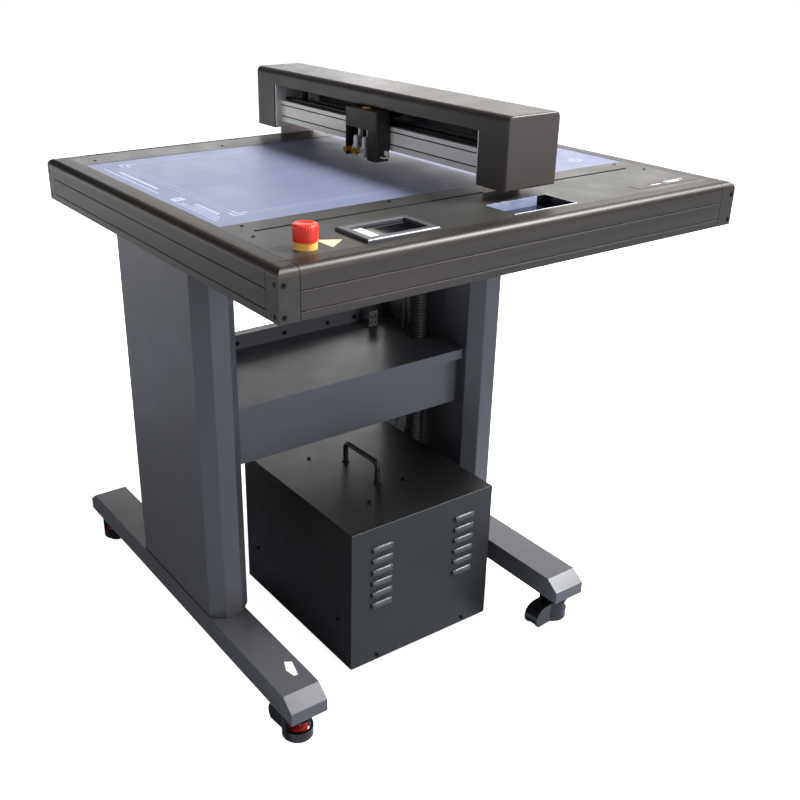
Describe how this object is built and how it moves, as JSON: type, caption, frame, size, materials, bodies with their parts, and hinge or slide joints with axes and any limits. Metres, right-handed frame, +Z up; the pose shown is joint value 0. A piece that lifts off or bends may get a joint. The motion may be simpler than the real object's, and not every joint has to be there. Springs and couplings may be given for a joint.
{
  "type": "flatbed cutter",
  "caption": "Free-standing flatbed vinyl cutter: a moving gantry with a two-tool head over a vacuum bed, on a two-leg stand with levelling casters and a floor-standing vacuum unit",
  "frame": {"origin": "middle of the machine's footprint on the floor", "axes": "+Z up; +X to the operator's right, along the gantry's travel; +Y away from the operator, along the beam"},
  "size_m": [1.15, 1.114, 1.188],
  "materials": {
    "rail_anodised": "warm charcoal anodised extrusion with faint lengthwise streaks",
    "deck_paint": "fine-textured dark grey powder coat on the deck and panel",
    "cutting_felt": "lavender-blue self-healing cutting mat with printed frame lines",
    "stand_paint": "satin charcoal powder coat on legs, feet and shelf",
    "vacuum_paint": "black satin powder coat on the vacuum unit",
    "cover_paint": "satin dark grey gantry cover",
    "beam_aluminium": "brushed natural anodised beam",
    "arm_aluminium": "bright machined plate",
    "steel_dark": "blackened screws",
    "steel_bright": "ground steel guides and shafts",
    "black_plastic": "black moulded housings",
    "black_rubber": "black rubber",
    "screen_glass": "black glossy touch panel",
    "stop_red": "red stop button",
    "stop_yellow": "yellow collar",
    "knob_brass": "knurled brass",
    "cable_grey": "light grey cable jacket"
  },
  "bodies": {
    "root": {"blower_housing": "vacuum_paint", "bottom_pan": "stand_paint", "control_panel": "deck_paint", "corner_caps": "rail_anodised", "cutting_mat": "cutting_felt", "deck_sheet": "deck_paint", "display_bezel": "black_plastic", "display_screen": "screen_glass", "estop_collar": "stop_yellow", "feet": "stand_paint", "front_rail": "rail_anodised", "guide_rails": "steel_bright", "hose_elbow": "black_plastic", "legs": "stand_paint", "power_inlet": "black_plastic", "rear_rail": "rail_anodised", "shaft_bearings": "steel_bright", "shelf": "stand_paint", "side_rails": "rail_anodised", "signal_cable": "cable_grey", "socket_screws": "steel_dark", "stretchers": "stand_paint", "tool_tray": "black_plastic", "travel_belts": "black_rubber", "travel_motor": "black_plastic", "vacuum_base": "vacuum_paint", "vacuum_bed": "stand_paint", "vacuum_cover": "vacuum_paint", "vacuum_handle": "black_plastic", "vacuum_hose": "black_rubber"},
    "gantry": {"gantry_beam": "beam_aluminium", "gantry_cover": "cover_paint", "gantry_end_covers": "cover_paint", "gantry_arms": "arm_aluminium", "head_guide": "steel_bright", "head_motor": "black_plastic", "head_belt": "black_rubber"},
    "head": {"head_carriage": "steel_dark", "head_cover": "black_plastic"},
    "left_tool": {"tool_left": "steel_bright"},
    "right_tool": {"tool_right": "steel_bright"},
    "left_knob": {"knob_left": "knob_brass"},
    "right_knob": {"knob_right": "knob_brass"},
    "stop_button": {"estop_button": "stop_red"},
    "rocker": {"power_rocker": "black_plastic"},
    "drive": {"drive_shaft": "steel_bright"},
    "idler": {"idler_shaft": "steel_bright"},
    "impeller": {"blower_impeller": "beam_aluminium"},
    "front_left_swivel": {"front_left_caster": "black_plastic"},
    "front_left_roller": {"front_left_wheel": "black_plastic"},
    "front_left_foot": {"front_left_pad": "black_rubber"},
    "front_right_swivel": {"front_right_caster": "black_plastic"},
    "front_right_roller": {"front_right_wheel": "black_plastic"},
    "front_right_foot": {"front_right_pad": "black_rubber"},
    "rear_left_swivel": {"rear_left_caster": "black_plastic"},
    "rear_left_roller": {"rear_left_wheel": "black_plastic"},
    "rear_left_foot": {"rear_left_pad": "black_rubber"},
    "rear_right_swivel": {"rear_right_caster": "black_plastic"},
    "rear_right_roller": {"rear_right_wheel": "black_plastic"},
    "rear_right_foot": {"rear_right_pad": "black_rubber"}
  },
  "joints": [
    {"name": "gantry_travel", "type": "slide", "parent": "root", "child": "gantry", "axis": [1, 0, 0], "range_m": [-0.534, 0.323]},
    {"name": "drive_spin", "type": "hinge", "parent": "root", "child": "drive", "pos_m": [0.505, -0.032, 0.964], "axis": [0, 1, 0], "continuous": true},
    {"name": "idler_spin", "type": "hinge", "parent": "root", "child": "idler", "pos_m": [-0.505, -0.032, 0.964], "axis": [0, 1, 0], "continuous": true},
    {"name": "head_travel", "type": "slide", "parent": "gantry", "child": "head", "axis": [0, 1, 0], "range_m": [-0.3, 0.35]},
    {"name": "left_tool_lift", "type": "slide", "parent": "head", "child": "left_tool", "axis": [0, 0, 1], "range_m": [-0.008, 0]},
    {"name": "right_tool_lift", "type": "slide", "parent": "head", "child": "right_tool", "axis": [0, 0, 1], "range_m": [-0.008, 0]},
    {"name": "left_knob_turn", "type": "hinge", "parent": "left_tool", "child": "left_knob", "pos_m": [0, 0.08, 1.053], "axis": [1, 0, 0], "range_deg": [0, 360]},
    {"name": "right_knob_turn", "type": "hinge", "parent": "right_tool", "child": "right_knob", "pos_m": [0, 0.046, 1.053], "axis": [1, 0, 0], "range_deg": [0, 360]},
    {"name": "stop_press", "type": "slide", "parent": "root", "child": "stop_button", "axis": [0, 0, 1], "range_m": [-0.004, 0], "stiffness_N_per_m": 1500, "springref_m": 0.002},
    {"name": "power_rock", "type": "hinge", "parent": "root", "child": "rocker", "pos_m": [0.5, 0.491, 0.947], "axis": [1, 0, 0], "range_deg": [-8, 8]},
    {"name": "impeller_spin", "type": "hinge", "parent": "root", "child": "impeller", "pos_m": [-0.11, -0.12, 0.24], "axis": [0, 0, 1], "continuous": true},
    {"name": "front_left_swivel", "type": "hinge", "parent": "root", "child": "front_left_swivel", "pos_m": [-0.5225, -0.5, 0.04], "axis": [0, 0, 1], "continuous": true},
    {"name": "front_left_roll", "type": "hinge", "parent": "front_left_swivel", "child": "front_left_roller", "pos_m": [-0.52677, -0.45119, 0.029], "axis": [-0.9962, -0.0872, 0], "continuous": true},
    {"name": "front_left_lift", "type": "slide", "parent": "front_left_swivel", "child": "front_left_foot", "axis": [0, 0, 1], "range_m": [0, 0.01]},
    {"name": "front_right_swivel", "type": "hinge", "parent": "root", "child": "front_right_swivel", "pos_m": [0.2025, -0.5, 0.04], "axis": [0, 0, 1], "continuous": true},
    {"name": "front_right_roll", "type": "hinge", "parent": "front_right_swivel", "child": "front_right_roller", "pos_m": [0.15369, -0.50427, 0.029], "axis": [0.0872, -0.9962, 0], "continuous": true},
    {"name": "front_right_lift", "type": "slide", "parent": "front_right_swivel", "child": "front_right_foot", "axis": [0, 0, 1], "range_m": [0, 0.01]},
    {"name": "rear_left_swivel", "type": "hinge", "parent": "root", "child": "rear_left_swivel", "pos_m": [-0.5225, 0.436, 0.04], "axis": [0, 0, 1], "continuous": true},
    {"name": "rear_left_roll", "type": "hinge", "parent": "rear_left_swivel", "child": "rear_left_roller", "pos_m": [-0.50574, 0.48204, 0.029], "axis": [-0.9397, 0.342, 0], "continuous": true},
    {"name": "rear_left_lift", "type": "slide", "parent": "rear_left_swivel", "child": "rear_left_foot", "axis": [0, 0, 1], "range_m": [0, 0.01]},
    {"name": "rear_right_swivel", "type": "hinge", "parent": "root", "child": "rear_right_swivel", "pos_m": [0.2025, 0.436, 0.04], "axis": [0, 0, 1], "continuous": true},
    {"name": "rear_right_roll", "type": "hinge", "parent": "rear_right_swivel", "child": "rear_right_roller", "pos_m": [0.18574, 0.48204, 0.029], "axis": [-0.9397, -0.342, 0], "continuous": true},
    {"name": "rear_right_lift", "type": "slide", "parent": "rear_right_swivel", "child": "rear_right_foot", "axis": [0, 0, 1], "range_m": [0, 0.01]}
  ],
  "couplings": [
    {"joint": "drive_spin", "follows": "gantry_travel", "rad_per_m": 76.336},
    {"joint": "idler_spin", "follows": "gantry_travel", "rad_per_m": 76.336}
  ]
}
